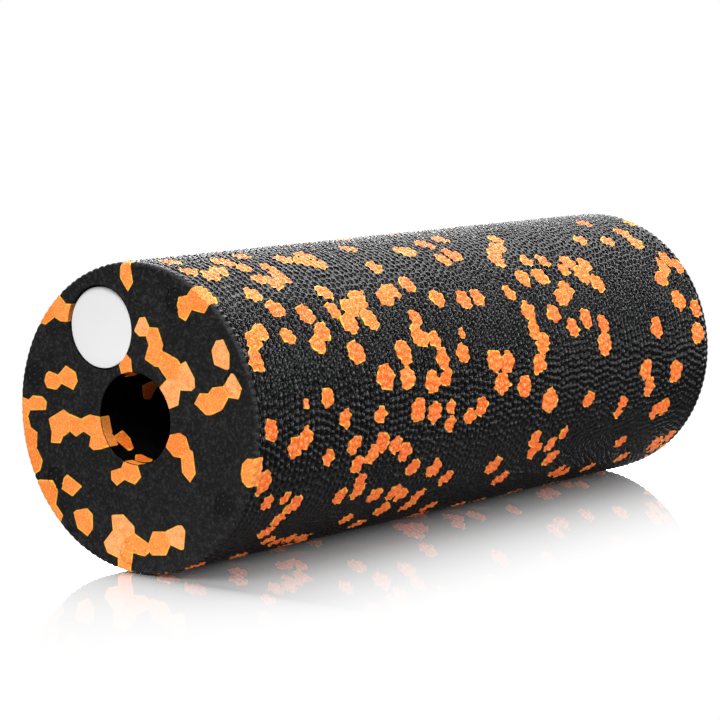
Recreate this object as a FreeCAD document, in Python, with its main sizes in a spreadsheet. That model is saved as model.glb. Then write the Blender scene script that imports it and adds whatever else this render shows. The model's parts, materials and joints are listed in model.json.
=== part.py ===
import FreeCAD, Part
import itertools
import math
import os
import random
import re
import Sketcher

from FreeCAD import Vector

# A small moulded bead-foam massage roller lying on its side.
# The roller's axis is +Y, the end with the label faces -Y, and +Z is up.
# Sub-parts are drawn about the roller's own axis and lifted so that the roller lies on z = 0.
# Angles round the barrel and the bore count from +Z towards +X, in degrees.

doc = FreeCAD.newDocument("foam_roller")

# ---------------------------------------------------------------- driving dimensions, mm

DIMENSIONS = {
    "roller_length": 150.0,
    "roller_diameter": 55.0,
    "bore_diameter": 16.0,
    "rim_radius": 0.9,
    "bore_rim_radius": 0.3,
    "bead_depth": 2.6,
    "recess_diameter": 15.0,
    "recess_depth": 1.3,
    "label_diameter": 14.4,
    "label_thickness": 0.4,
    "label_edge_radius": 0.1,
    "adhesive_diameter": 13.6,
    "adhesive_thickness": 0.1,
    "label_side_offset": -8.1,
    "label_rise": 15.4,
    "vent_diameter": 4.0,
    "vent_depth": 0.15,
    "pip_diameter": 0.45,
    "pip_ring_radius": 1.5,
}

dimensions = doc.addObject("Spreadsheet::Sheet", "dimensions")
for row, (alias, value) in enumerate(DIMENSIONS.items(), start=1):
    dimensions.set(f"A{row}", alias.replace("_", " "))
    dimensions.set(f"B{row}", str(value))
    dimensions.setAlias(f"B{row}", alias)
doc.recompute()


def size(alias):
    """The value of one cell of the sheet."""
    return float(dimensions.get(alias))


HALF_LENGTH = size("roller_length") / 2
ROLLER_RADIUS = size("roller_diameter") / 2
BORE_RADIUS = size("bore_diameter") / 2
BEAD_DEPTH = size("bead_depth")

# ---------------------------------------------------------------- where the orange beads lie

# Each bead that shows on the near end: its corners (x, z) from the roller's axis.
NEAR_END_BEADS = [
    # alone at the top
    [(-1.0, 28.5), (-2.4, 28.5), (-3.1, 26.0), (-3.1, 24.4), (-1.3, 22.1), (-0.1, 23.8)],
    # left of the label, out to the rim
    [(-22.8, 15.3), (-20.9, 15.1), (-18.7, 16.5), (-18.9, 21.5), (-21.5, 20.5), (-24.0, 17.0)],
    [(-18.7, 16.5), (-17.3, 15.9), (-15.9, 15.9), (-15.9, 19.2), (-18.2, 21.3), (-18.9, 21.3)],
    [(-15.9, 15.9), (-13.5, 16.4), (-13.2, 19.2), (-15.9, 19.2)],
    # a pair at middle left
    [(-21.4, 5.0), (-21.0, 6.3), (-20.2, 6.9), (-18.0, 6.4), (-17.2, 4.8), (-18.4, 3.6), (-20.8, 3.8)],
    [(-18.0, 6.4), (-16.1, 8.2), (-13.8, 7.2), (-13.3, 5.6), (-14.4, 3.9), (-17.2, 4.8)],
    # between the label and the bore
    [(-3.6, 9.2), (-2.9, 7.2), (-0.4, 7.2), (-0.7, 10.4), (-1.9, 11.3)],
    # down the left rim
    [(-28.5, 2.0), (-25.3, 1.4), (-24.9, -0.6), (-25.4, -1.7), (-28.5, -1.6)],
    [(-25.3, 1.4), (-24.2, 2.2), (-21.9, 2.2), (-20.8, 1.3), (-21.1, -0.2), (-24.9, -0.6)],
    [(-28.5, -1.6), (-25.4, -1.7), (-24.8, -3.6), (-28.5, -4.1)],
    [(-28.5, -4.1), (-24.8, -3.6), (-23.2, -4.4), (-23.4, -7.3), (-28.0, -7.9)],
    [(-28.0, -7.9), (-23.4, -7.3), (-22.0, -9.4), (-22.7, -11.3), (-24.6, -12.4), (-27.2, -12.2)],
    # lower left, at the rim
    [(-24.8, -13.6), (-22.8, -12.9), (-19.8, -12.7), (-18.4, -14.6), (-18.9, -17.0), (-22.9, -18.0)],
    [(-22.9, -18.0), (-18.9, -17.0), (-17.2, -18.8), (-18.1, -20.6), (-20.2, -21.2)],
    # two single beads below it
    [(-16.1, -11.3), (-12.5, -13.1), (-14.9, -15.2), (-17.6, -14.1), (-17.2, -12.2)],
    [(-14.7, -18.0), (-14.0, -17.5), (-11.4, -16.9), (-10.1, -17.9), (-10.1, -20.5), (-11.4, -22.0),
     (-13.8, -20.8)],
    # the row from middle left into the bore
    [(-20.5, -1.7), (-16.8, 0.3), (-15.6, -0.3), (-15.3, -3.6), (-17.0, -4.7), (-19.8, -4.0)],
    [(-19.8, -4.0), (-17.0, -4.7), (-17.6, -5.9), (-20.0, -6.0)],
    [(-15.6, -0.3), (-12.6, -1.0), (-12.1, -3.3), (-13.9, -4.4), (-15.3, -3.6)],
    [(-12.6, -1.0), (-10.6, -0.1), (-7.0, -0.4), (-6.8, -3.3), (-10.4, -4.0), (-12.1, -3.3)],
    [(-10.4, -4.0), (-6.8, -3.3), (-5.4, -5.2), (-8.0, -6.1), (-9.8, -6.4), (-10.8, -5.8)],
    # a pair under the bore
    [(-5.7, -9.7), (-3.3, -8.9), (-2.5, -11.0), (-4.3, -12.2), (-5.6, -11.3)],
    [(-2.2, -7.0), (-3.3, -8.9), (-2.5, -11.0), (-0.1, -11.6), (1.4, -10.1), (0.2, -7.2)],
    # a pair right of the bore
    [(6.6, -3.9), (8.0, -2.1), (10.2, -1.5), (11.7, -2.1), (12.5, -4.2), (10.5, -5.9), (8.8, -5.8)],
    [(10.5, -5.9), (12.5, -4.2), (13.2, -4.5), (13.8, -8.3), (12.5, -10.0), (10.7, -8.4)],
    # the group at the bottom
    [(-5.7, -17.5), (-2.9, -17.1), (-0.3, -19.0), (-0.2, -20.2), (-2.6, -21.3), (-5.4, -20.2)],
    [(-7.6, -22.6), (-5.4, -20.2), (-2.6, -21.3), (-2.9, -23.6), (-4.3, -25.0), (-6.7, -24.4)],
    [(-2.6, -21.3), (-0.2, -20.2), (2.9, -21.6), (3.1, -23.2), (1.9, -24.2), (-0.8, -23.8), (-2.9, -23.6)],
    [(-4.3, -25.0), (-2.9, -23.6), (-0.8, -23.8), (-1.4, -28.5), (-4.3, -28.5)],
    # a pair beside that group
    [(2.9, -21.6), (3.9, -19.4), (6.7, -19.1), (8.0, -21.4), (7.0, -23.3), (3.7, -23.7), (3.1, -23.2)],
    [(6.7, -19.1), (9.6, -17.7), (10.7, -17.6), (11.4, -18.5), (11.0, -21.8), (10.4, -22.0), (8.0, -21.4)],
    # over the rim at the right
    [(23.8, -7.4), (24.1, -5.6), (25.2, -4.6), (28.5, -4.4), (28.5, -9.9), (25.2, -9.6), (24.1, -8.7)],
    # over the rim at the top right
    [(9.7, 20.5), (10.1, 21.9), (12.1, 22.3), (13.2, 19.8), (11.8, 17.8), (10.3, 18.4)],
    [(13.2, 19.8), (12.1, 22.3), (14.2, 25.0), (15.4, 25.4), (17.9, 22.3), (16.0, 19.4)],
    # the chain at the upper right of the bore
    [(0.0, 15.4), (1.3, 17.8), (2.6, 18.0), (3.6, 16.3), (2.7, 14.6), (1.2, 14.5)],
    [(3.6, 16.3), (5.5, 16.3), (6.7, 13.4), (6.4, 12.5), (3.3, 13.1), (2.7, 14.6)],
    [(3.3, 13.1), (6.4, 12.5), (6.8, 12.3), (5.5, 9.5), (4.7, 9.5), (2.4, 10.6)],
    [(6.8, 12.3), (9.9, 11.2), (10.6, 10.4), (9.3, 7.6), (7.4, 7.5), (5.5, 9.5)],
    [(10.6, 10.4), (11.7, 11.0), (13.7, 8.2), (13.8, 6.6), (13.0, 5.9), (10.5, 5.8), (9.3, 7.6)],
    [(7.4, 7.5), (9.3, 7.6), (10.5, 5.8), (10.0, 3.2), (7.7, 2.3), (5.5, 5.8)],
    # alone at the right
    [(17.5, 13.2), (18.5, 15.0), (20.1, 15.3), (21.5, 12.9), (21.4, 10.3), (20.7, 10.1), (18.1, 10.8)],
    # the chain at the right
    [(13.6, 3.8), (14.8, 5.7), (16.7, 5.8), (17.3, 2.1), (16.2, 2.0)],
    [(16.7, 5.8), (17.6, 6.9), (20.0, 7.3), (21.2, 5.4), (19.8, 3.2), (17.3, 2.1)],
    [(20.0, 7.3), (21.6, 9.6), (22.3, 9.6), (24.1, 7.1), (23.4, 5.3), (21.2, 5.4)],
]

# Clusters on the side of the barrel: each bead's distance from the near end, angle and half-width.
BARREL_CLUSTERS = [
    [(4.0, 110, 2.2)],
    [(4.8, 18, 1.8)],
    [(6.5, 6, 1.9)],
    [(5.0, 57, 1.9), (8.0, 54, 1.9)],
    [(3.4, 65, 2.0)],
    [(4.2, 90, 1.9)],
    [(8.2, 23, 1.9), (12.0, 20, 1.9)],
    [(7.3, 119, 1.5)],
    [(10.9, 98, 1.9), (13.6, 96, 2.1)],
    [(12.2, 119, 1.5)],
    [(12.6, 37, 1.9), (15.2, 45, 2.1)],
    [(14.3, 57, 1.7)],
    [(14.0, 83, 0.9)],
    [(13.9, 130, 1.6), (13.4, 137, 1.9)],
    [(16.0, 123, 1.9)],
    [(17.2, 144, 1.6)],
    [(17.0, 13, 2.1), (19.0, 20, 1.7)],
    [(18.0, 29, 1.6), (20.5, 32, 2.0), (24.0, 29, 2.2), (24.6, 22, 1.9)],
    [(20.1, 82, 1.8)],
    [(21.2, 105, 1.7)],
    [(22.0, 49, 2.1), (23.8, 57, 2.0), (21.3, 62, 1.8)],
    [(24.3, 9, 1.7)],
    [(24.8, 91, 1.7)],
    [(21.6, 149, 1.8), (25.0, 148, 1.7)],
    [(28.0, 102, 1.8), (30.3, 110, 1.8)],
    [(29.5, 124, 1.9)],
    [(30.6, 67, 2.2)],
    [(31.0, 40, 1.8)],
    [(29.9, 49, 1.7), (32.4, 55, 2.2), (34.9, 49, 2.1), (38.3, 46, 2.4), (38.6, 55, 2.0)],
    [(32.0, 17, 2.0), (35.4, 20, 1.9), (38.0, 24, 1.9), (38.6, 15, 2.1)],
    [(33.2, 118, 1.7), (34.2, 124, 1.7)],
    [(34.0, 107, 1.9), (36.5, 103, 2.0)],
    [(35.3, 92, 1.7)],
    [(37.4, 78, 2.4)],
    [(38.4, 141, 1.6)],
    [(41.0, 105, 1.8), (44.4, 109, 1.9)],
    [(41.2, 128, 2.0)],
    [(44.2, 70, 2.3), (43.9, 80, 2.2)],
    [(46.6, 46, 2.0), (49.6, 44, 2.2)],
    [(46.9, 93, 2.3), (51.8, 95, 2.0)],
    [(47.3, 129, 1.9), (50.6, 132, 1.8)],
    [(48.6, 140, 2.2)],
    [(49.1, 117, 2.0)],
    [(46.0, 150, 1.9)],
    [(51.6, 30, 1.9)],
    [(51.8, 57, 1.9), (50.6, 64, 2.5), (54.6, 67, 1.9), (55.3, 74, 2.1), (55.5, 81, 2.2), (51.2, 83, 2.2)],
    [(53.3, 13, 1.9)],
    [(55.5, 41, 1.9)],
    [(57.0, 94, 1.3), (57.3, 101, 1.6)],
    [(56.5, 120, 2.1)],
    [(57.4, 135, 2.0), (57.6, 142, 2.0)],
    [(61.2, 50, 1.9)],
    [(63.5, 66, 1.0), (62.0, 74, 1.9)],
    [(63.4, 99, 1.7), (67.0, 96, 1.9)],
    [(63.0, 127, 2.0)],
    [(65.9, 21, 2.3)],
    [(68.0, 149, 2.0)],
    [(69.0, 52, 2.2), (73.3, 52, 2.0)],
    [(71.6, 79, 2.2), (76.0, 80, 2.2), (73.4, 88, 2.4)],
    [(73.0, 30, 1.8)],
    [(74.8, 17, 2.1)],
    [(77.5, 28, 2.3)],
    [(78.0, 126, 2.3)],
    [(81.0, 91, 2.2)],
    [(82.0, 14, 1.9)],
    [(84.0, 52, 1.7)],
    [(85.2, 136, 2.2)],
    [(88.4, 35, 1.9), (90.4, 30, 1.8), (93.6, 26, 1.9), (97.0, 20, 1.8)],
    [(87.1, 61, 2.1), (86.6, 69, 1.9), (88.5, 75, 2.3), (86.3, 83, 2.0)],
    [(88.6, 116, 1.9), (90.6, 122, 2.0)],
    [(90.5, 99, 2.4)],
    [(91.6, 46, 2.1)],
    [(95.0, 64, 2.0)],
    [(96.0, 121, 1.7), (99.4, 129, 2.2)],
    [(99.0, 116, 1.3)],
    [(97.6, 37, 1.8), (97.6, 46, 2.1)],
    [(100.0, 71, 1.9)],
    [(100.2, 57, 2.0), (103.0, 54, 2.0)],
    [(102.6, 38, 1.7)],
    [(104.5, 102, 1.8)],
    [(105.5, 68, 2.1)],
    [(106.8, 44, 1.6), (110.0, 41, 1.9), (111.6, 48, 2.2), (115.2, 43, 1.9), (115.0, 53, 2.1)],
    [(108.0, 142, 2.1), (112.0, 145, 1.9)],
    [(111.0, 71, 1.9), (109.9, 80, 2.4)],
    [(118.0, 107, 1.6), (117.6, 111, 1.6)],
    [(122.4, 28, 1.7)],
    [(122.0, 146, 2.0)],
    [(125.4, 94, 2.3), (127.2, 102, 1.9)],
    [(125.4, 129, 1.9)],
    [(130.4, 76, 2.1)],
    [(131.0, 31, 1.8)],
    [(132.8, 114, 1.8), (135.8, 113, 2.0)],
    [(133.4, 143, 2.0)],
    [(134.0, 13, 1.8)],
    [(137.0, 97, 2.4)],
    [(138.6, 55, 2.0), (142.3, 50, 1.9), (145.2, 46, 2.0), (147.6, 50, 1.8)],
    [(140.1, 26, 1.9), (139.8, 34, 2.1)],
    [(141.4, 66, 2.3)],
    [(142.4, 136, 2.0), (146.2, 133, 1.9), (145.2, 141, 1.8)],
    [(146.0, 82, 2.4)],
    [(146.9, 71, 1.9)],
]

# The same for the wall of the bore, near the end with the label.
BORE_CLUSTERS = [
    [(4.6, 232, 1.8)],
    [(4.2, 338, 1.6)],
    [(4.6, 195, 1.7)],
    [(12.5, 294, 1.8)],
]

# Steam vents of the mould leave round marks on the ends: centres (x, z) from the roller's axis.
NEAR_END_VENTS = [(-23.7, 6.0), (9.5, 21.4), (20.0, -13.0), (-18.8, -12.4), (-1.9, -22.4), (22.3, 7.6)]
FAR_END_VENT_ANGLES = [18, 67, 116, 165, 216, 263, 327]
VENT_CIRCLE_RADIUS = 23.6
PIPS_ROUND_A_VENT = 6

# Where nothing is given above, clusters fall at random, as loose beads do in a mould.
SEED = 12
BARREL_AREA_PER_CLUSTER = 125.0
BORE_AREA_PER_CLUSTER = 250.0
END_AREA_PER_CLUSTER = 95.0
CLUSTER_SIZES = [1, 1, 1, 1, 2, 2, 2, 3, 3, 4]
SMALLEST_BEAD = 1.6
LARGEST_BEAD = 2.3
RANDOM_BARREL_ANGLES = (158, 357)
RANDOM_BORE_ANGLES = (45, 405)
RANDOM_BORE_START = 16.0

# ---------------------------------------------------------------- bead cells
# A bead is a convex cell: the space inside its walls, each wall an outward normal and an offset.

OVERSHOOT = 1.0         # how far a cell stands out of the foam before it is trimmed to the surface
WALL_SLOPE = 8.0        # degrees that a cell narrows by as it goes down
JOINED_GAP = 0.45       # walls of two cells nearer than this become one wall
JOINED_COSINE = 0.9
ENOUGH_VOLUME = 4.0     # a cell trimmed to less than this is left out, mm3
BOX_MARGIN = 0.1
LARGEST_LOSS = 1.0      # mm3, between the whole moulding and the sum of its foam and beads
SAME_POINT = 1e-4
INSIDE = 1e-6
CLEARANCE = 3.4         # a new random cluster starts this many half-widths from every other bead
STEP = 1.9              # the next bead of a cluster lies this many half-widths further on


class Cell:
    """One bead's walls, its centre at the foam's surface and how far it can reach."""

    def __init__(self, centre, walls, reach):
        self.centre = centre
        self.walls = walls
        self.reach = reach


def wall_through(normal, point):
    """A wall with this outward normal through a point."""
    normal = Vector(normal).normalize()
    return (normal, normal.dot(point))


def outside_by(wall, point):
    """How far a point lies beyond a wall."""
    return wall[0].dot(point) - wall[1]


def middle_of(points):
    """The mean of some points."""
    return sum(points, Vector()) * (1.0 / len(points))


def radial(angle):
    """The direction away from the roller's axis at an angle in degrees, from +Z towards +X."""
    return Vector(math.sin(math.radians(angle)), 0, math.cos(math.radians(angle)))


def outlined_bead(corners):
    """The cell of a bead on the near end, from its corners."""
    outward = Vector(0, -1, 0)
    points = [Vector(x, -HALF_LENGTH, z) for x, z in corners]
    centre = middle_of(points)
    walls = [
        wall_through(outward, centre + outward * OVERSHOOT),
        wall_through(-outward, centre - outward * BEAD_DEPTH),
    ]
    for start, end in zip(points, points[1:] + points[:1]):
        sideways = (end - start).cross(outward)
        if sideways.dot(start - centre) < 0:
            sideways = -sideways
        walls.append(wall_through(sideways, start))
    reach = max((point - centre).Length for point in points) + BEAD_DEPTH
    return Cell(centre, walls, reach)


def round_bead(centre, outward, half_width, chance):
    """The cell of a bead of a given half-width, five to seven sided, about an outward direction."""
    across = outward.cross(Vector(0.31, 0.87, 0.39)).normalize()
    along = outward.cross(across)
    depth = BEAD_DEPTH * chance.uniform(0.85, 1.1)
    walls = [
        wall_through(outward, centre + outward * OVERSHOOT),
        wall_through(-outward, centre - outward * depth),
    ]
    sides = chance.choice([5, 6, 6, 7])
    turn = chance.uniform(0, 360)
    lean = math.tan(math.radians(WALL_SLOPE))
    for side in range(sides):
        angle = math.radians(turn + (side + chance.uniform(-0.22, 0.22)) * 360 / sides)
        sideways = across * math.cos(angle) + along * math.sin(angle)
        distance = half_width * chance.uniform(0.84, 1.08)
        walls.append(wall_through(sideways - outward * lean, centre + sideways * distance))
    return Cell(centre, walls, half_width * 1.6 + BEAD_DEPTH)


def fit_against(cell, neighbour):
    """Trims a cell where it meets a neighbour, as beads flatten on each other. False if it is inside."""
    if (cell.centre - neighbour.centre).Length > cell.reach + neighbour.reach:
        return True
    between = max(neighbour.walls, key=lambda wall: outside_by(wall, cell.centre))
    if outside_by(between, cell.centre) <= 0:
        return False
    shared = (-between[0], -between[1])
    for index, wall in enumerate(cell.walls):
        gap = abs(outside_by(shared, cell.centre) - outside_by(wall, cell.centre))
        if wall[0].dot(shared[0]) > JOINED_COSINE and gap < JOINED_GAP:
            cell.walls[index] = shared
            return True
    cell.walls.append(shared)
    return True


def corner_of(wall_a, wall_b, wall_c):
    """The point where three walls meet, or None if two of them are parallel."""
    spread = wall_a[0].dot(wall_b[0].cross(wall_c[0]))
    if abs(spread) < SAME_POINT:
        return None
    point = wall_b[0].cross(wall_c[0]) * wall_a[1]
    point += wall_c[0].cross(wall_a[0]) * wall_b[1]
    point += wall_a[0].cross(wall_b[0]) * wall_c[1]
    return point * (1.0 / spread)


def corners_by_wall(walls):
    """For each wall, the corners of the cell that lie on it."""
    found = [[] for wall in walls]
    for trio in itertools.combinations(range(len(walls)), 3):
        point = corner_of(*(walls[index] for index in trio))
        if point is None or any(outside_by(wall, point) > INSIDE for wall in walls):
            continue
        for index in trio:
            if all((point - known).Length > SAME_POINT for known in found[index]):
                found[index].append(point)
    return found


def cell_solid(cell):
    """The cell as a solid with flat faces, or None if its walls leave too little."""
    faces = []
    for (normal, _), corners in zip(cell.walls, corners_by_wall(cell.walls)):
        if len(corners) < 3:
            continue
        middle = middle_of(corners)
        first = (corners[0] - middle).normalize()
        second = normal.cross(first)
        corners.sort(key=lambda p: math.atan2((p - middle).dot(second), (p - middle).dot(first)))
        faces.append(Part.Face(Part.makePolygon(corners + corners[:1])))
    if len(faces) < 4:
        return None
    solid = Part.makeSolid(Part.makeShell(faces))
    if solid.Volume < 0:
        solid.reverse()
    if not solid.isValid() or solid.Volume < ENOUGH_VOLUME:
        return None
    return solid


class BeadPacking:
    """Beads placed one after another, each fitted against those already there."""

    def __init__(self):
        self.cells = []
        self.groups = {}

    def place(self, group, cell):
        """Adds a bead to a named group if there is room for it."""
        if not all(fit_against(cell, known) for known in self.cells):
            return
        solid = cell_solid(cell)
        if solid is not None:
            self.cells.append(cell)
            self.groups.setdefault(group, []).append(solid)

    def is_clear(self, centre, gap):
        """True if a point is further than gap from the centre of every bead so far."""
        return all((centre - known.centre).Length > gap for known in self.cells)


def sets_apart(solids):
    """The solids in sets where no two touch: a boolean operation can lose one of two that share a wall."""
    sets = []
    for solid in solids:
        box = solid.BoundBox
        box.enlarge(BOX_MARGIN)
        for others in sets:
            if not any(box.intersect(other.BoundBox) for other in others):
                others.append(solid)
                break
        else:
            sets.append([solid])
    return sets


class RoundWall:
    """The side of the barrel or of the bore. A place on it is (distance from the near end, angle)."""

    END_MARGIN = 3.0

    def __init__(self, radius, outward_sign, lengths, angles, group, area_per_cluster):
        self.radius = radius
        self.outward_sign = outward_sign
        self.lengths = lengths
        self.angles = angles
        self.group = group
        self.area_per_cluster = area_per_cluster

    def cluster_count(self):
        """How many random clusters there are."""
        turn = math.radians(self.angles[1] - self.angles[0])
        return int(turn * self.radius * (self.lengths[1] - self.lengths[0]) / self.area_per_cluster)

    def any_place(self, chance):
        """A random place."""
        return (chance.uniform(*self.lengths), chance.uniform(*self.angles))

    def place_beside(self, place, half_width, chance):
        """A random place one bead away from another."""
        heading = chance.uniform(0, 2 * math.pi)
        along = place[0] + STEP * half_width * math.cos(heading)
        turn = math.degrees(STEP * half_width * math.sin(heading) / self.radius)
        furthest = 2 * HALF_LENGTH - self.END_MARGIN
        return (min(max(along, self.END_MARGIN), furthest), place[1] + turn)

    def bead(self, place, half_width, chance):
        """The cell of a bead at a place."""
        away = radial(place[1])
        centre = away * self.radius + Vector(0, place[0] - HALF_LENGTH, 0)
        return round_bead(centre, away * self.outward_sign, half_width, chance)


class FarEnd:
    """The far end face. A place on it is (distance from the axis, angle)."""

    RADII = (10.0, 26.5)

    def cluster_count(self):
        """How many random clusters there are."""
        return int(math.pi * (ROLLER_RADIUS ** 2 - BORE_RADIUS ** 2) / END_AREA_PER_CLUSTER)

    def any_place(self, chance):
        """A random place, as likely in every part of the face."""
        inner, outer = self.RADII
        return (math.sqrt(chance.uniform(inner ** 2, outer ** 2)), chance.uniform(0, 360))

    def place_beside(self, place, half_width, chance):
        """A random place one bead away from another."""
        heading = chance.uniform(0, 2 * math.pi)
        inner, outer = self.RADII
        away = place[0] + STEP * half_width * math.cos(heading)
        turn = math.degrees(STEP * half_width * math.sin(heading) / place[0])
        return (min(max(away, inner), outer), place[1] + turn)

    def bead(self, place, half_width, chance):
        """The cell of a bead at a place."""
        centre = radial(place[1]) * place[0] + Vector(0, HALF_LENGTH, 0)
        return round_bead(centre, Vector(0, 1, 0), half_width, chance)

    def group(self, place):
        """The name of the bead group here."""
        return "orange_beads_far_end"


def barrel_group(place):
    """The name of the stretch of barrel that a place lies in: five lengths, each upper and lower."""
    length = min(int(place[0] / HALF_LENGTH * 2.5), 4) + 1
    half = "upper" if radial(place[1]).z > 0 else "lower"
    return f"orange_beads_barrel_{length}_{half}"


def bore_group(place):
    """The name of the bead group in the bore."""
    return "orange_beads_bore"


def scatter(packing, surface, chance):
    """Fills a surface with random clusters of one to four beads."""
    for _ in range(surface.cluster_count()):
        half_width = chance.uniform(SMALLEST_BEAD, LARGEST_BEAD)
        place = surface.any_place(chance)
        while not packing.is_clear(surface.bead(place, half_width, chance).centre, half_width * CLEARANCE):
            place = surface.any_place(chance)
        for _ in range(chance.choice(CLUSTER_SIZES)):
            packing.place(surface.group(place), surface.bead(place, half_width, chance))
            place = surface.place_beside(place, half_width, chance)
            half_width = chance.uniform(SMALLEST_BEAD, LARGEST_BEAD)


def pack_beads():
    """All the orange beads as solids by group: the given ones first, then the random ones."""
    packing = BeadPacking()
    chance = random.Random(SEED)
    whole_length = (RoundWall.END_MARGIN, 2 * HALF_LENGTH - RoundWall.END_MARGIN)
    bore_length = (RANDOM_BORE_START, whole_length[1])
    barrel = RoundWall(
        ROLLER_RADIUS, 1, whole_length, RANDOM_BARREL_ANGLES, barrel_group, BARREL_AREA_PER_CLUSTER
    )
    bore = RoundWall(BORE_RADIUS, -1, bore_length, RANDOM_BORE_ANGLES, bore_group, BORE_AREA_PER_CLUSTER)
    for corners in NEAR_END_BEADS:
        packing.place("orange_beads_near_end", outlined_bead(corners))
    for wall, clusters in ((barrel, BARREL_CLUSTERS), (bore, BORE_CLUSTERS)):
        for from_near_end, angle, half_width in itertools.chain(*clusters):
            place = (from_near_end, angle)
            packing.place(wall.group(place), wall.bead(place, half_width, chance))
    for surface in (barrel, bore, FarEnd()):
        scatter(packing, surface, chance)
    return packing.groups


# ---------------------------------------------------------------- features


def cell_ref(formula):
    """An expression with each word that is an alias read from the sheet."""
    for alias in sorted(DIMENSIONS, key=len, reverse=True):
        formula = re.sub(rf"(?<![\w.]){alias}\b", f"dimensions.{alias}", formula)
    return formula


def lift(thing):
    """Raises a thing drawn about the roller's axis so that the roller lies on z = 0."""
    thing.setExpression("Placement.Base.z", cell_ref("roller_diameter / 2"))
    return thing


def cross_sketch(body, name, towards_near_end):
    """A sketch across the roller's axis, at a distance from mid-length towards the near end."""
    plane = next(item for item in body.Origin.OriginFeatures if item.Role == "XZ_Plane")
    sketch = body.newObject("Sketcher::SketchObject", name)
    sketch.AttachmentSupport = [(plane, "")]
    sketch.MapMode = "FlatFace"
    sketch.setExpression("AttachmentOffset.Base.z", cell_ref(towards_near_end))
    return sketch


def draw_circle(sketch, x, z, diameter):
    """A circle in a sketch; its place and diameter are expressions."""
    circle = sketch.addGeometry(Part.Circle(Vector(0, 0, 0), Vector(0, 0, 1), 1.0), False)
    for kind, target, formula in (
        ("Diameter", (circle, 2.0), diameter),
        ("DistanceX", (circle, 3, 1.0), x),
        ("DistanceY", (circle, 3, 1.0), z),
    ):
        index = sketch.addConstraint(Sketcher.Constraint(kind, *target))
        sketch.setExpression(f"Constraints[{index}]", cell_ref(str(formula)))


def extrude(body, kind, name, sketch, length, reverse=False):
    """A pad or pocket of a sketch; unless reversed a pad goes towards -Y and a pocket towards +Y."""
    feature = body.newObject(f"PartDesign::{kind}", name)
    feature.Profile = sketch
    feature.setExpression("Length", cell_ref(length))
    feature.Reversed = reverse
    return feature


def round_edges(body, name, radius, diameter):
    """A fillet on every edge of the body's last feature that is a circle of this diameter."""
    base = body.Tip
    edges = [
        f"Edge{index}"
        for index, edge in enumerate(base.Shape.Edges, start=1)
        if hasattr(edge.Curve, "Radius") and abs(edge.Curve.Radius * 2 - size(diameter)) < SAME_POINT
    ]
    fillet = body.newObject("PartDesign::Fillet", name)
    fillet.Base = (base, edges)
    fillet.setExpression("Radius", cell_ref(radius))
    doc.recompute()


def add_vents(body, end, centres, side):
    """The round vent marks on one end: a shallow disc with a pip in its middle and a ring of pips."""
    far = side < 0
    face = f"{side} * roller_length / 2"
    floor = f"{side} * (roller_length / 2 - vent_depth)"
    discs = cross_sketch(body, f"{end}_vent_discs", face)
    pips = cross_sketch(body, f"{end}_vent_pips", floor)
    for x, z in centres:
        draw_circle(discs, x, z, "vent_diameter")
        draw_circle(pips, x, z, "pip_diameter")
        for pip in range(PIPS_ROUND_A_VENT):
            angle = 30 + pip * 360 / PIPS_ROUND_A_VENT
            draw_circle(
                pips,
                f"{x} + pip_ring_radius * cos({angle})",
                f"{z} + pip_ring_radius * sin({angle})",
                "pip_diameter",
            )
    extrude(body, "Pocket", f"{end}_vents", discs, "vent_depth", reverse=far)
    extrude(body, "Pad", f"{end}_pips", pips, "vent_depth", reverse=far)
    doc.recompute()


def add_moulding():
    """The whole roller's outer form: a thick tube with rounded rims, the label's recess and vent marks."""
    body = doc.addObject("PartDesign::Body", "moulding")
    ring = cross_sketch(body, "ring", "-roller_length / 2")
    draw_circle(ring, 0, 0, "roller_diameter")
    draw_circle(ring, 0, 0, "bore_diameter")
    extrude(body, "Pad", "tube", ring, "roller_length")
    doc.recompute()
    round_edges(body, "rims", "rim_radius", "roller_diameter")
    round_edges(body, "bore_rims", "bore_rim_radius", "bore_diameter")
    recess = cross_sketch(body, "recess_outline", "roller_length / 2")
    draw_circle(recess, "label_side_offset", "label_rise", "recess_diameter")
    extrude(body, "Pocket", "recess", recess, "recess_depth")
    doc.recompute()
    far_vents = [
        (VENT_CIRCLE_RADIUS * radial(angle).x, VENT_CIRCLE_RADIUS * radial(angle).z)
        for angle in FAR_END_VENT_ANGLES
    ]
    add_vents(body, "near", NEAR_END_VENTS, 1)
    add_vents(body, "far", far_vents, -1)
    return lift(body)


def add_disc(name, diameter, thickness, towards_near_end, edge_radius=None):
    """A thin disc in the label's recess, its inner face at a distance from mid-length."""
    body = doc.addObject("PartDesign::Body", name)
    outline = cross_sketch(body, f"{name}_outline", towards_near_end)
    draw_circle(outline, "label_side_offset", "label_rise", diameter)
    extrude(body, "Pad", f"{name}_pad", outline, thickness)
    doc.recompute()
    if edge_radius:
        outer = min(edge.CenterOfMass.y for edge in body.Tip.Shape.Edges)
        edges = [
            f"Edge{index}"
            for index, edge in enumerate(body.Tip.Shape.Edges, start=1)
            if edge.CenterOfMass.y < outer + SAME_POINT
        ]
        fillet = body.newObject("PartDesign::Fillet", f"{name}_edge")
        fillet.Base = (body.getObject(f"{name}_pad"), edges)
        fillet.setExpression("Radius", cell_ref(edge_radius))
    return lift(body)


def add_cells(name, shape):
    """A shape made of bead cells, not yet trimmed to the roller's surface."""
    cells = doc.addObject("Part::Feature", name)
    cells.Shape = shape
    return lift(cells)


def add_beads(name, solids):
    """A group of orange beads: what each cell holds of the moulding."""
    portions = []
    for number, portion_solids in enumerate(sets_apart(solids), start=1):
        portion = doc.addObject("Part::Common", f"{name}_portion_{number}")
        portion.Base = moulding
        portion.Tool = add_cells(f"{name}_cells_{number}", Part.makeCompound(portion_solids))
        portions.append(portion)
    beads = doc.addObject("Part::Compound", name)
    beads.Links = portions
    return beads


# ---------------------------------------------------------------- the roller

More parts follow.
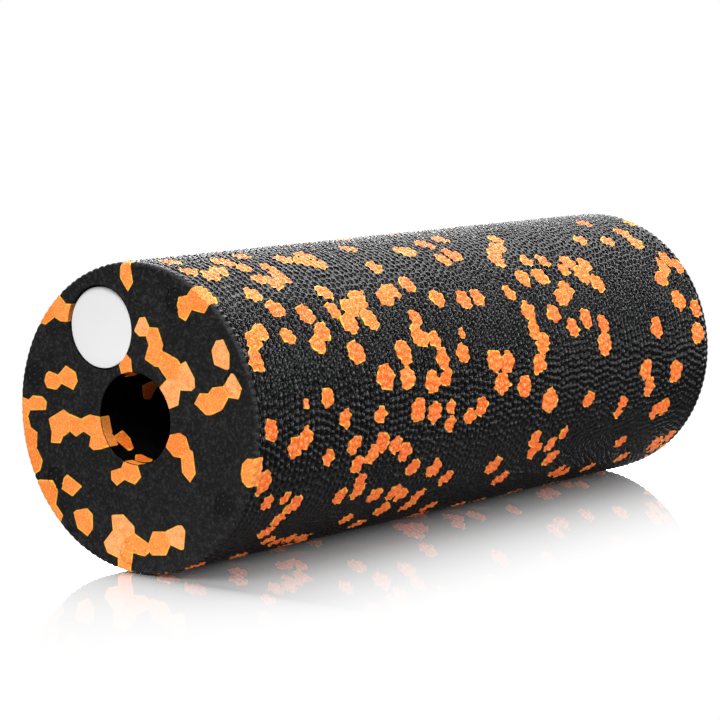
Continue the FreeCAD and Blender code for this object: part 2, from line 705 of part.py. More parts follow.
bead_groups = pack_beads()
all_cells = [solid for solids in bead_groups.values() for solid in solids]
moulding = add_moulding()

# The black foam: the whole moulding less a pocket for every orange bead.
foam_body = doc.addObject("Part::Cut", "foam_body")
foam_body.Base = moulding
foam_body.Tool = add_cells("all_cells", all_cells[0].multiFuse(all_cells[1:]))

orange_beads = [add_beads(name, bead_groups[name]) for name in sorted(bead_groups)]

# The label: a glue pad on the recess's floor and a plastic disc on it, sunk below the face.
label_adhesive = add_disc(
    "label_adhesive", "adhesive_diameter", "adhesive_thickness",
    "roller_length / 2 - recess_depth",
)
label_disc = add_disc(
    "label_disc", "label_diameter", "label_thickness",
    "roller_length / 2 - recess_depth + adhesive_thickness", "label_edge_radius",
)

doc.recompute()

# ---------------------------------------------------------------- checks and files

for thing in doc.Objects:
    if "Invalid" in thing.State or "Error" in thing.State:
        raise RuntimeError(f"{thing.Label} failed: {thing.State}")

foam_volume = sum(part.Shape.Volume for part in [foam_body] + orange_beads)
if abs(foam_volume - moulding.Shape.Volume) > LARGEST_LOSS:
    raise RuntimeError(f"The foam's parts hold {foam_volume:.1f} of {moulding.Shape.Volume:.1f} mm3")

os.makedirs("parts", exist_ok=True)
for part in [foam_body] + orange_beads + [label_adhesive, label_disc]:
    shape = Part.makeCompound(part.Shape.Solids)
    expected = len(bead_groups.get(part.Label, [part]))
    if not shape.isValid() or len(shape.Solids) != expected:
        raise RuntimeError(f"{part.Label} has {len(shape.Solids)} solids, not {expected}, or isn't valid")
    shape.exportStep(f"parts/{part.Label}.step")
    print(f"{part.Label}: {expected} solids, {shape.Volume:.1f} mm3")
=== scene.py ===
import json
import math

import bpy
import numpy as np
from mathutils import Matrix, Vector


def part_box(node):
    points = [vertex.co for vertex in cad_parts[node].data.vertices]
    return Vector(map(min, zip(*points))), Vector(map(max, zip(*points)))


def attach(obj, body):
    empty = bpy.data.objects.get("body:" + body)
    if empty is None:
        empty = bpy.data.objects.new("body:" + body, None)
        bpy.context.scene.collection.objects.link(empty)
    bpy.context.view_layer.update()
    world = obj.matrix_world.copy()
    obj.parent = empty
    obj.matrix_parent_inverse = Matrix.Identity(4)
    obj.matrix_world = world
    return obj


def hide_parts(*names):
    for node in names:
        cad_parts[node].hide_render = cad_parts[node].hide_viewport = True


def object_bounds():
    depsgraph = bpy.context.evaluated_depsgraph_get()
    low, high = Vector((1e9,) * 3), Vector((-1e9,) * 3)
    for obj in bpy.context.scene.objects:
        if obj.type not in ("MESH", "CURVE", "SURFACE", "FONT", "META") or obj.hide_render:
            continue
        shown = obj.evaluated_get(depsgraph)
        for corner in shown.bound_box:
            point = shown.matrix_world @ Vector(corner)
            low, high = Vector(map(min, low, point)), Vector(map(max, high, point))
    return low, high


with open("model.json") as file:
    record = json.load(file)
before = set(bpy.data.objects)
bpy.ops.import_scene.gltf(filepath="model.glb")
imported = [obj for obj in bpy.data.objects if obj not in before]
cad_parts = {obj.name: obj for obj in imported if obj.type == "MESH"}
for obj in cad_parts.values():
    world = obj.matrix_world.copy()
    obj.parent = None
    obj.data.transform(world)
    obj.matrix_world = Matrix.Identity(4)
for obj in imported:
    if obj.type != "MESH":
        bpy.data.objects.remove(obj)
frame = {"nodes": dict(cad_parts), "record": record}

# A black and orange bead foam roller. Shapes are worked out in millimetres in the row frame, with the
# roller's axis along Y, and angles round the axis are in radians from +Z towards +X.

MM = 0.001
cad_low, cad_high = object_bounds()
mounts = {mount["name"]: mount for mount in frame["record"]["mounts"]}

LENGTH = (cad_high.y - cad_low.y) / MM
RADIUS = (cad_high.z - cad_low.z) / 2 / MM
AXIS = np.array([0.0, 0.0, RADIUS])
BORE_RADIUS = mounts["bore"]["dims"]["r_mm"]
RIM_RADIUS = 0.9
BORE_RIM_RADIUS = 0.3
RECESS_RADIUS = 7.5
RECESS_DEPTH = 1.3
VENT_RADIUS = 2.0
VENT_DEPTH = 0.15
PIP_RADIUS = 0.225
PIP_HEIGHT = 0.9 * VENT_DEPTH
PIP_RING_RADIUS = 1.5
PIPS_ROUND_A_VENT = 6

# The pebbled grain: lines of small domes round the barrel, each dome a little longer round than along it.
DOMES_ROUND = 122
LINE_PITCH = 1.42
GRAIN_HEIGHT = 0.45
DOME_HALF_LENGTH = 0.84
DOME_HALF_WIDTH = 0.6
JITTER_ROUND = 0.22
JITTER_ALONG = 0.13
GRAIN_STARTS = 0.9
GRAIN_FULL = 1.9
RIDGE_SHARE = 0.7
CREASE_DEPTH = 0.07
CREASE_WIDTH = 0.16

# The mesh's steps.
AROUND = 720
AROUND_BORE = 240
BARREL_STEP = 0.25
FACE_STEP = 0.3
BORE_STEP = 0.6
RIM_STEPS = 7
BORE_RIM_STEPS = 3
VENT_FLOOR_STEPS = (20, 96)         # rings, and steps round each
RECESS_FLOOR_STEPS = (24, 160)
SECTORS = 6
SLOPE_STEP = 0.03
SNAP = 0.004
SEARCH_MARGIN = 1.0

# A skin's owners: these, or a bead's number.
BLACK = -1
FIRST_HOLE = -2

NO_WALL_NEAR = 9.0      # stands for the distance to a wall where there is none
SKIN_DROP = 0.02        # how far the plain surfaces stay below the CAD's

# Label-end beads whose skin is paler than the rest, as points (x, z) in them from the axis.
PALE_BEADS = [
    (12.0, 8.0), (8.0, 5.0), (2.0, 16.0), (22.0, 7.5), (19.5, 13.0), (-3.0, -19.0),
    (-5.0, -22.5), (9.5, -20.0),
]
# Label-end beads whose skin is a deeper orange.
DEEP_BEADS = [
    (-25.0, 2.0), (-24.0, -4.0), (-23.0, -8.0), (0.0, 25.0), (14.0, 20.0), (12.0, -3.5),
    (-15.5, -11.5), (-21.0, 17.0), (-20.0, -16.0),
]

rng = np.random.default_rng(41)


# ---------------------------------------------------------------- camera, light and floor

CAMERA_PLACE = Vector((0.3293, -0.4452, 0.0977))
CAMERA_AIM = Vector((-0.0002, -0.0098, 0.0315))
CAMERA_LENS = 143.57


def add_camera():
    data = bpy.data.cameras.new("camera")
    data.lens = CAMERA_LENS
    data.sensor_width = 36
    camera = bpy.data.objects.new("camera", data)
    camera.location = CAMERA_PLACE
    camera.rotation_euler = (CAMERA_AIM - CAMERA_PLACE).to_track_quat("-Z", "Y").to_euler()
    bpy.context.scene.collection.objects.link(camera)
    bpy.context.scene.camera = camera


def add_light(name, place, aim, width, height, power):
    """A softbox at place that faces aim."""
    data = bpy.data.lights.new(name, "AREA")
    data.shape = "RECTANGLE"
    data.size, data.size_y = width, height
    data.energy = power
    light = bpy.data.objects.new(name, data)
    light.location = place
    light.rotation_euler = (Vector(aim) - Vector(place)).to_track_quat("-Z", "Y").to_euler()
    bpy.context.scene.collection.objects.link(light)


class Nodes:
    """Short calls for building a node tree."""

    def __init__(self, tree):
        self.tree = tree
        tree.nodes.clear()

    def add(self, kind, settings=None, **inputs):
        """A node with its settings. Inputs go by name, or by number as i0, i1 and so on; each takes a number,
        a colour or another node's output."""
        made = self.tree.nodes.new(kind)
        for name, value in (settings or {}).items():
            setattr(made, name, value)
        for name, value in inputs.items():
            numbered = name[0] == "i" and name[1:].isdigit()
            socket = made.inputs[int(name[1:]) if numbered else name.replace("_", " ")]
            if isinstance(value, bpy.types.NodeSocket):
                self.tree.links.new(value, socket)
            else:
                socket.default_value = value
        return made

    def math(self, operation, a, b=0.0):
        return self.add("ShaderNodeMath", {"operation": operation}, i0=a, i1=b).outputs[0]

    def between(self, value, low, high, to_low=0.0, to_high=1.0):
        """Value's smooth step from low to high, as a number from to_low to to_high."""
        made = self.add("ShaderNodeMapRange", {"interpolation_type": "SMOOTHSTEP"}, i0=value, i1=low, i2=high,
                        i3=to_low, i4=to_high)
        return made.outputs[0]

    def mix(self, share, a, b):
        """The colour a where share is 0 and b where it is 1."""
        made = self.add("ShaderNodeMix", {"data_type": "RGBA"}, i0=share, i6=a, i7=b)
        return made.outputs[2]

    def noise(self, place, scale, detail=2.0, rough=0.5):
        return self.add("ShaderNodeTexNoise", None, Vector=place, Scale=scale, Detail=detail,
                        Roughness=rough).outputs["Fac"]

    def millimetres(self):
        """Places on the object, in millimetres."""
        place = self.add("ShaderNodeTexCoord").outputs["Object"]
        return self.add("ShaderNodeMapping", None, Vector=place, Scale=(1 / MM, 1 / MM, 1 / MM)).outputs[0]

    def attribute(self, name):
        return self.add("ShaderNodeAttribute", {"attribute_name": name}).outputs["Fac"]


def rgb(red, green, blue):
    return (red, green, blue, 1.0)


BACKDROP_DIRECTION = (-0.47, 0.88, 0.0)
BACKDROP_LIGHT = 9.5
ROOM_LIGHT = 0.05


def add_world():
    """White to the eye. For light, bright low down behind the roller, and dim elsewhere."""
    world = bpy.data.worlds.new("studio")
    bpy.context.scene.world = world
    world.use_nodes = True
    n = Nodes(world.node_tree)
    place = n.add("ShaderNodeTexCoord").outputs["Generated"]
    towards = n.add("ShaderNodeVectorMath", {"operation": "DOT_PRODUCT"}, i0=place, i1=BACKDROP_DIRECTION)
    height = n.add("ShaderNodeSeparateXYZ", None, Vector=place).outputs[2]
    low = n.between(height, 0.14, 0.5, 1.0, 0.0)
    lit = n.math("MULTIPLY", n.between(towards.outputs["Value"], 0.45, 0.9), low)
    level = n.math("ADD", n.math("MULTIPLY", lit, BACKDROP_LIGHT), ROOM_LIGHT)
    light = n.add("ShaderNodeBackground", None, Color=rgb(1, 1, 1), Strength=level)
    seen = n.add("ShaderNodeBackground", None, Color=rgb(1, 1, 1), Strength=1.0)
    eye = n.add("ShaderNodeLightPath").outputs["Is Camera Ray"]
    both = n.add("ShaderNodeMixShader", None, i0=eye, i1=light.outputs[0], i2=seen.outputs[0])
    n.add("ShaderNodeOutputWorld", None, Surface=both.outputs[0])


FLOOR_SIZE = 8.0
# How far the floor's dark reflection of the roller reaches, in millimetres: on the left and right of the
# axis, and beyond its ends, where it falls steeply and then slowly.
SHADE_LEFT = 30.0
SHADE_RIGHT = 62.0
SHADE_AHEAD = (3.0, 26.0)


def add_floor():
    """A glossy white sheet that goes over to a white glow away from the roller, so that it has no edge."""
    bpy.ops.mesh.primitive_plane_add(size=FLOOR_SIZE, location=(0, 0, 0))
    floor = bpy.context.active_object
    floor.name = "floor"
    made = bpy.data.materials.new("floor_sheet")
    made.use_nodes = True
    n = Nodes(made.node_tree)
    place = n.millimetres()
    apart = n.add("ShaderNodeSeparateXYZ", None, Vector=place)
    left = n.math("MULTIPLY", apart.outputs[0], -SHADE_RIGHT / SHADE_LEFT)
    beside = n.between(n.math("MAXIMUM", apart.outputs[0], left), 0.0, SHADE_RIGHT, 1.0, 0.0)
    ahead = n.math("MAXIMUM", n.math("SUBTRACT", n.math("ABSOLUTE", apart.outputs[1]), LENGTH / 2), 0.0)
    steep = n.math("MULTIPLY", n.math("EXPONENT", n.math("DIVIDE", ahead, -SHADE_AHEAD[0])), 0.45)
    slow = n.math("MULTIPLY", n.math("EXPONENT", n.math("DIVIDE", ahead, -SHADE_AHEAD[1])), 0.55)
    sheet_share = n.math("MULTIPLY", beside, n.math("ADD", steep, slow))
    path = n.add("ShaderNodeLightPath")
    strength = n.between(path.outputs["Is Glossy Ray"], 0.0, 1.0, 0.45, 0.15)
    strength = n.math("MAXIMUM", strength, n.math("MULTIPLY", path.outputs["Is Camera Ray"], 1.02))
    sheet = n.add("ShaderNodeBsdfPrincipled", None, Base_Color=rgb(0.8, 0.8, 0.8), Metallic=0.6,
                  Roughness=0.03)
    glow = n.add("ShaderNodeEmission", None, Color=rgb(1, 1, 1), Strength=strength)
    both = n.add("ShaderNodeMixShader", None, i0=sheet_share, i1=glow.outputs[0], i2=sheet.outputs[0])
    n.add("ShaderNodeOutputMaterial", None, Surface=both.outputs[0])
    floor.data.materials.append(made)


def add_studio():
    view = bpy.context.scene.view_settings
    view.view_transform = "Standard"
    view.look = "None"
    add_world()
    add_floor()
    middle = (0, 0, RADIUS * MM)
    add_light("top_softbox", (-0.15, 0.35, 0.75), middle, 0.6, 0.6, 9)
    add_light("front_softbox", (0.2, -0.75, 0.75), middle, 0.6, 0.6, 15)
    add_light("side_strip", (0.9, 0.0, 0.3), middle, 0.07, 0.9, 8)


# ---------------------------------------------------------------- the CAD beads, as convex cells

def mesh_arrays(node):
    """A CAD node's points in millimetres and its triangles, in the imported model's order."""
    mesh = frame["nodes"][node].data
    points = np.empty(len(mesh.vertices) * 3)
    mesh.vertices.foreach_get("co", points)
    mesh.calc_loop_triangles()
    triangles = np.empty(len(mesh.loop_triangles) * 3, int)
    mesh.loop_triangles.foreach_get("vertices", triangles)
    return points.reshape(-1, 3) / MM, triangles.reshape(-1, 3)


def closed_solids(node):
    """The node's separate solids, each as its triangles' corners (n, 3, 3). They follow each other in the
    mesh, so one ends where every edge so far has met its opposite."""
    points, triangles = mesh_arrays(node)
    _, same = np.unique(np.round(points, 4), axis=0, return_inverse=True)
    names = same.ravel()[triangles]
    unmet, start = set(), 0
    for k, (a, b, c) in enumerate(names.tolist()):
        for edge in ((a, b), (b, c), (c, a)):
            if (edge[1], edge[0]) in unmet:
                unmet.remove((edge[1], edge[0]))
            else:
                unmet.add(edge)
        if not unmet:
            yield points[triangles[start:k + 1]]
            start = k + 1


def depth_inside(points):
    """How far points are inside the roller's outline, with its round rims."""
    radius = np.hypot(points[..., 0], points[..., 2] - RADIUS)
    ends = LENGTH / 2 - np.abs(points[..., 1])
    depth = np.minimum(np.minimum(RADIUS - radius, radius - BORE_RADIUS), ends)
    short_out, short_back = RIM_RADIUS - (RADIUS - radius), RIM_RADIUS - ends
    on_rim = (short_out > 0) & (short_back > 0)
    return np.where(on_rim, RIM_RADIUS - np.hypot(short_out, short_back), depth)


# How far off a CAD triangle may be and still count as the surface, the recess's wall or its floor, in
# millimetres, and what makes two of a cell's walls one.
FACES_OF_THE_SURFACE = 0.2
WALL_TOLERANCE = 0.06
LEVEL_TOLERANCE = 0.01
SAME_DIRECTION = 0.9995
SAME_OFFSET = 0.02
SMALLEST_FACET = 0.002


def beside_the_recess(points):
    centre = recess_centre()
    reach = np.hypot(points[..., 0] - centre[0], points[..., 2] - centre[1])
    in_recess = points[..., 1] < -LENGTH / 2 + RECESS_DEPTH + 0.05
    return (np.abs(reach - RECESS_RADIUS) < WALL_TOLERANCE) & in_recess


def on_the_recess_floor(points):
    return np.abs(points[..., 1] + LENGTH / 2 - RECESS_DEPTH) < LEVEL_TOLERANCE


class Bead:
    """A bead's convex cell: the planes of its walls, without the faces that lie on the roller's surface."""

    def __init__(self, node, corners):
        self.node = node
        self.low = corners.min(axis=(0, 1))
        self.high = corners.max(axis=(0, 1))
        depth = depth_inside(corners)
        self.core = corners[depth > 0.8 * depth.max()].mean(axis=0)
        across = np.cross(corners[:, 1] - corners[:, 0], corners[:, 2] - corners[:, 0])
        area = np.linalg.norm(across, axis=1) / 2
        surface = depth.max(axis=1) < FACES_OF_THE_SURFACE
        surface |= beside_the_recess(corners).all(axis=1) | on_the_recess_floor(corners).all(axis=1)
        walls = np.flatnonzero(~surface & (area > SMALLEST_FACET))
        normals, offsets = [], []
        for k in walls[np.argsort(-area[walls])]:
            normal = across[k] / np.linalg.norm(across[k])
            offset = corners[k].mean(axis=0) @ normal
            if not any(normal @ n > SAME_DIRECTION and abs(offset - d) < SAME_OFFSET
                       for n, d in zip(normals, offsets)):
                normals.append(normal)
                offsets.append(offset)
        self.normals = np.array(normals)
        self.offsets = np.array(offsets)
        self.touching = np.zeros(len(normals), bool)
        self.angle = math.atan2(self.core[0], self.core[2] - RADIUS)

    def side(self, points):
        """Below 0 inside the cell, and the distance to its nearest wall there."""
        return (points @ self.normals.T - self.offsets).max(axis=1)

    def mark_touching(self, other):
        """Marks the walls that this bead shares with another."""
        if (self.low > other.high + 0.1).any() or (other.low > self.high + 0.1).any():
            return
        facing = self.normals @ other.normals.T < -SAME_DIRECTION
        level = np.abs(self.offsets[:, None] + other.offsets[None, :]) < SAME_OFFSET
        self.touching |= (facing & level).any(axis=1)

    def inner_edge(self, points, touching):
        """How far points in the cell are from its walls against other beads, or from those against foam."""
        walls = self.touching == touching
        if not walls.any():
            return np.full(len(points), NO_WALL_NEAR)
        return -(points @ self.normals[walls].T - self.offsets[walls]).max(axis=1)


class Hole:
    """A round opening in one end, as a cell."""

    def __init__(self, centre, radius, end, depth):
        self.centre, self.radius, self.end, self.depth = np.array(centre), radius, end, depth
        level = end * LENGTH / 2
        self.low = np.array([centre[0] - radius, level - 0.05, centre[1] - radius])
        self.high = np.array([centre[0] + radius, level + 0.05, centre[1] + radius])

    def side(self, points):
        return np.hypot(points[:, 0] - self.centre[0], points[:, 2] - self.centre[1]) - self.radius

    def floor_level(self):
        return self.end * (LENGTH / 2 - self.depth)


def recess_centre():
    low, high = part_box("label_disc")
    return (low.x + high.x) / 2 / MM, (low.z + high.z) / 2 / MM


def vent_centres(end):
    """The vents' centres (x, z) in one end, from the floors that the CAD foam has at their depth."""
    points, _ = mesh_arrays("foam_body")
    radius = np.hypot(points[:, 0], points[:, 2] - RADIUS)
    on_face = (radius > BORE_RADIUS + BORE_RIM_RADIUS) & (radius < RADIUS - RIM_RADIUS)
    at_floor = np.abs(points[:, 1] - end * (LENGTH / 2 - VENT_DEPTH)) < LEVEL_TOLERANCE
    floors = points[on_face & at_floor][:, [0, 2]]
    while len(floors):
        near = np.linalg.norm(floors - floors[0], axis=1) < 2.2 * VENT_RADIUS
        yield (floors[near].min(axis=0) + floors[near].max(axis=0)) / 2
        floors = floors[~near]


# ---------------------------------------------------------------- the surface, cut along the beads' walls

class Skin:
    """A triangle mesh of surface. Each triangle has an owner: the black foam, a hole or a bead's number."""

    def __init__(self, points, outward, triangles):
        self.point_count, self.triangle_count = len(points), len(triangles)
        room_points, room_triangles = len(points) // 2 + 20000, len(triangles) // 2 + 40000
        self.points = np.concatenate([points, np.zeros((room_points, 3))])
        self.outward = np.concatenate([outward, np.zeros((room_points, 3))])
        self.wall_distance = np.full(len(self.points), NO_WALL_NEAR)
        self.triangles = np.concatenate([triangles, np.zeros((room_triangles, 3), int)])
        self.owner = np.full(len(self.triangles), BLACK)
        self.middles = np.full((len(self.triangles), 3), 1e9)
        self.middles[:len(triangles)] = points[triangles].mean(axis=1)

    def point_between(self, a, b, share, made):
        """The number of the point on the edge from a to b, made once for the triangles on both its sides."""
        key = (a, b) if a < b else (b, a)
        if key not in made:
            k = self.point_count
            self.points[k] = self.points[a] + share * (self.points[b] - self.points[a])
            outward = self.outward[a] + share * (self.outward[b] - self.outward[a])
            self.outward[k] = outward / np.linalg.norm(outward)
            self.wall_distance[k] = 0.0
            self.point_count += 1
            made[key] = k
        return made[key]

    def add_triangles(self, polygon, owner, place):
        """Puts a polygon's triangles at the place of the one it came from, or at the end if that is None."""
        for j in range(1, len(polygon) - 1):
            k = self.triangle_count if place is None else place
            self.triangle_count += place is None
            self.triangles[k] = polygon[0], polygon[j], polygon[j + 1]
            self.middles[k] = self.points[self.triangles[k]].mean(axis=0)
            self.owner[k] = owner
            place = None

    def cut(self, cell, owner):
        """Gives the black triangles inside a cell to owner, and splits those that its walls cross."""
        middles = self.middles[:self.triangle_count]
        near = self.owner[:self.triangle_count] == BLACK
        for axis in (1, 0, 2):
            near &= middles[:, axis] > cell.low[axis] - SEARCH_MARGIN
            near &= middles[:, axis] < cell.high[axis] + SEARCH_MARGIN
        found = np.flatnonzero(near)
        if not len(found):
            return
        corners, place = np.unique(self.triangles[found], return_inverse=True)
        side = cell.side(self.points[corners])
        side[np.abs(side) < SNAP] = 0.0
        self.wall_distance[corners] = np.minimum(self.wall_distance[corners], np.abs(side))
        sides = side[place.reshape(-1, 3)]
        self.owner[found[(sides <= 0).all(axis=1)]] = owner
        crossed = (sides < 0).any(axis=1) & (sides > 0).any(axis=1)
        made = {}
        for k, value in zip(found[crossed].tolist(), sides[crossed].tolist()):
            corner = self.triangles[k].tolist()
            inner, outer = [], []
            for j in range(3):
                a, b = value[j], value[(j + 1) % 3]
                if a <= 0:
                    inner.append(corner[j])
                if a >= 0:
                    outer.append(corner[j])
                if a * b < 0:
                    cut = self.point_between(corner[j], corner[(j + 1) % 3], a / (a - b), made)
                    inner.append(cut)
                    outer.append(cut)
            self.add_triangles(inner, owner, k)
            self.add_triangles(outer, BLACK, None)

    def trim(self):
        """Drops the unused room."""
        self.points = self.points[:self.point_count]
        self.outward = self.outward[:self.point_count]
        self.wall_distance = self.wall_distance[:self.point_count]
        self.triangles = self.triangles[:self.triangle_count]
        self.owner = self.owner[:self.triangle_count]
        self.middles = self.middles[:self.triangle_count]

    def raise_by(self, height):
        """Sets final places and normals for a height in millimetres above the plain surface."""
        around = np.cross(np.array([0.0, 1.0, 0.0]), self.points - AXIS)
        around /= np.linalg.norm(around, axis=1)[:, None]
        along = np.cross(self.outward, around)
        crease = CREASE_DEPTH * np.exp(-((self.wall_distance / CREASE_WIDTH) ** 2))
        level = height(self.points, self.outward) - crease
        self.placed = self.points + level[:, None] * self.outward
        self.normals = self.outward.copy()
        for direction in (around, along):
            step = SLOPE_STEP * direction
            slope = height(self.points + step, self.outward) - height(self.points - step, self.outward)
            self.normals -= (slope / (2 * SLOPE_STEP))[:, None] * direction
        self.normals /= np.linalg.norm(self.normals, axis=1)[:, None]


def swept_grid(radius, level, radial, lengthwise, around, inside_out=False):
    """Points, outward directions and triangles of a profile turned round the axis. The profile is radii,
    levels along the axis, and the radial and lengthwise parts of its outward directions."""
    angle = np.arange(around) * 2 * math.pi / around
    round_x, round_z = np.sin(angle), np.cos(angle)
    points = np.stack([
        radius[:, None] * round_x,
        np.repeat(level[:, None], around, axis=1),
        RADIUS + radius[:, None] * round_z,
    ], axis=-1).reshape(-1, 3)
    outward = np.stack([
        radial[:, None] * round_x,
        np.repeat(lengthwise[:, None], around, axis=1),
        radial[:, None] * round_z,
    ], axis=-1).reshape(-1, 3)
    rows, columns = np.meshgrid(np.arange(len(radius) - 1), np.arange(around), indexing="ij")
    a = (rows * around + columns).ravel()
    b = (rows * around + (columns + 1) % around).ravel()
    c, d = a + around, b + around
    triangles = np.stack([a, b, c, b, d, c], axis=1).reshape(-1, 3)
    if inside_out:
        triangles = triangles[:, ::-1]
    return points, outward, triangles


def outer_skin():
    """Both ends, both rims and the barrel in one surface, from bore edge to bore edge."""
    half = LENGTH / 2
    turn = np.linspace(0, math.pi / 2, BORE_RIM_STEPS + 1)[:-1]
    bore_rim = [(BORE_RADIUS + BORE_RIM_RADIUS * (1 - math.cos(t)),
                 -half + BORE_RIM_RADIUS * (1 - math.sin(t)), -math.cos(t), -math.sin(t)) for t in turn]
    face_from, face_to = BORE_RADIUS + BORE_RIM_RADIUS, RADIUS - RIM_RADIUS
    face = [(r, -half, 0.0, -1.0)
            for r in np.linspace(face_from, face_to, round((face_to - face_from) / FACE_STEP))]
    turn = np.linspace(0, math.pi / 2, RIM_STEPS + 1)[1:]
    rim = [(face_to + RIM_RADIUS * math.sin(t), -half + RIM_RADIUS * (1 - math.cos(t)),
            math.sin(t), -math.cos(t)) for t in turn]
    near = np.array(bore_rim + face + rim)
    far = near[::-1] * np.array([1, -1, 1, -1])
    barrel_from = -half + RIM_RADIUS
    levels = np.linspace(barrel_from, -barrel_from, round(-2 * barrel_from / BARREL_STEP))[1:-1]
    same = np.ones(len(levels))
    barrel = np.stack([RADIUS * same, levels, same, 0 * same], axis=1)
    profile = np.concatenate([near, barrel, far])
    return Skin(*swept_grid(*profile.T, AROUND))


def bore_skin():
    reach = LENGTH / 2 - BORE_RIM_RADIUS
    level = np.linspace(-reach, reach, round(2 * reach / BORE_STEP))
    same = np.ones(len(level))
    return Skin(*swept_grid(BORE_RADIUS * same, level, -same, 0 * same, AROUND_BORE, inside_out=True))


def floor_skin(hole, rings, around):
    """A hole's flat floor."""
    radius = np.linspace(0.0, hole.radius, rings + 1)[1:]
    angle = np.arange(around) * 2 * math.pi / around
    x = np.concatenate([[0.0], (radius[:, None] * np.sin(angle)).ravel()]) + hole.centre[0]
    z = np.concatenate([[0.0], (radius[:, None] * np.cos(angle)).ravel()]) + hole.centre[1]
    points = np.stack([x, np.full(len(x), hole.floor_level()), z], axis=1)
    outward = np.tile([0.0, hole.end, 0.0], (len(points), 1))
    columns = np.arange(around)
    beyond = (columns + 1) % around
    triangles = [np.stack([0 * columns, 1 + beyond, 1 + columns], axis=1)]
    for ring in range(rings - 1):
        a, b = 1 + ring * around + columns, 1 + ring * around + beyond
        triangles.append(np.stack([a, b, a + around], axis=1))
        triangles.append(np.stack([b, b + around, a + around], axis=1))
    triangles = np.concatenate(triangles)
    corner = points[triangles]
    facing = np.cross(corner[:, 1] - corner[:, 0], corner[:, 2] - corner[:, 0])[:, 1] * hole.end
    triangles[facing < 0] = triangles[facing < 0][:, ::-1]
    return Skin(points, outward, triangles)


# ---------------------------------------------------------------- heights of the grain

def smooth_step(value, low, high):
    share = np.clip((value - low) / (high - low), 0, 1)
    return share * share * (3 - 2 * share)


LINES = round(LENGTH / LINE_PITCH) + 2
jitter_round = rng.uniform(-JITTER_ROUND, JITTER_ROUND, (DOMES_ROUND, LINES))
jitter_along = rng.uniform(-JITTER_ALONG, JITTER_ALONG, (DOMES_ROUND, LINES))
dome_size = rng.uniform(0.85, 1.12, (DOMES_ROUND, LINES))
line_start = rng.uniform(0, 1, LINES)


class Waves:
    """A smooth unevenness with no pattern: a sum of sine waves in all directions."""

    def __init__(self, count, shortest, longest, height):
        self.height = height
        directions = rng.normal(size=(count, 3))
        directions /= np.linalg.norm(directions, axis=1)[:, None]
        self.waves = directions * (2 * math.pi / rng.uniform(shortest, longest, count))[:, None]
        self.phases = rng.uniform(0, 2 * math.pi, count)

    def at(self, points):
        return self.height * np.sin(points @ self.waves.T + self.phases).sum(axis=1)


ripple = Waves(14, 2.5, 9.0, 0.006)
wander_round = Waves(6, 12.0, 40.0, 0.15)
wander_along = Waves(6, 12.0, 40.0, 0.15)


def grain(turn, level):
    """The domes' height at a place: a turn round the axis, counted in domes, and a level along it."""
    height = np.zeros(len(level))
    pitch = 2 * math.pi * RADIUS / DOMES_ROUND
    line_place = (level + LENGTH / 2) / LINE_PITCH
    nearest_line = np.round(line_place).astype(int)
    for line_step in (-1, 0, 1):
        line = np.clip(nearest_line + line_step, 0, LINES - 1)
        dome_place = turn - line_start[line]
        nearest_dome = np.round(dome_place).astype(int)
        for dome_step in (-1, 0, 1):
            dome = nearest_dome + dome_step
            which = (dome % DOMES_ROUND, line)
            away_round = (dome_place - dome) * pitch - jitter_round[which]
            away_along = (line_place - line) * LINE_PITCH - jitter_along[which]
            away = np.hypot(away_round / DOME_HALF_LENGTH, away_along / DOME_HALF_WIDTH)
            size = dome_size[which]
            dome_height = GRAIN_HEIGHT * np.minimum(size, 1.0) * np.clip(1 - (away / size) ** 2, 0, 1)
            height = np.maximum(height, dome_height)
    return height


def outer_height(points, outward):
    """The grain on the barrel, running out into low ridges over the rims, and a faint ripple on the ends."""
    angle = np.arctan2(points[:, 0], points[:, 2] - RADIUS)
    turn = angle / (2 * math.pi) * DOMES_ROUND
    on_barrel = np.clip(np.hypot(outward[:, 0], outward[:, 2]), 0, 1) ** 2
    height = np.zeros(len(points))
    barrel = np.flatnonzero(on_barrel > 0.001)
    from_end = LENGTH / 2 - np.abs(points[barrel, 1])
    turn = turn[barrel] + wander_round.at(points[barrel])
    level = points[barrel, 1] + wander_along.at(points[barrel])
    ridge = RIDGE_SHARE * GRAIN_HEIGHT * (1 - (2 * (turn - np.round(turn))) ** 2)
    share = smooth_step(from_end, GRAIN_STARTS, GRAIN_FULL)
    domes = grain(turn, level)
    height[barrel] = on_barrel[barrel] * (ridge + share * (domes - ridge) - GRAIN_HEIGHT)
    return height + (1 - on_barrel) * (ripple.at(points) - SKIN_DROP)


BORE_DROP = 0.06
BORE_DROP_FULL = 3.0


def bore_height(points, outward):
    """An uneven wall that meets the ends' surface at its edges."""
    inner = smooth_step(LENGTH / 2 - np.abs(points[:, 1]), BORE_RIM_RADIUS, BORE_DROP_FULL)
    return (1 + inner) * ripple.at(points) - SKIN_DROP - BORE_DROP * inner


def pip_places():
    turn = (np.arange(PIPS_ROUND_A_VENT) + 0.5) * 2 * math.pi / PIPS_ROUND_A_VENT
    ring = PIP_RING_RADIUS * np.stack([np.cos(turn), np.sin(turn)], axis=1)
    return np.concatenate([[[0.0, 0.0]], ring])


def vent_height(centre):
    """The height on a vent's floor, with its round pips."""
    pips = pip_places() + centre

    def height(points, outward):
        away = np.linalg.norm(points[:, None, [0, 2]] - pips[None], axis=2).min(axis=1)
        return PIP_HEIGHT * np.sqrt(np.clip(1 - (away / PIP_RADIUS) ** 2, 0, 1)) - SKIN_DROP

    return height


# ---------------------------------------------------------------- pieces

class Part:
    """Some triangles of a piece, with their points' places, normals, unrolled places and named values."""

    def __init__(self, points, normals, triangles, unrolled, hidden=False, **values):
        self.points, self.normals, self.triangles = points, normals, triangles
        self.unrolled, self.hidden, self.values = unrolled, hidden, values


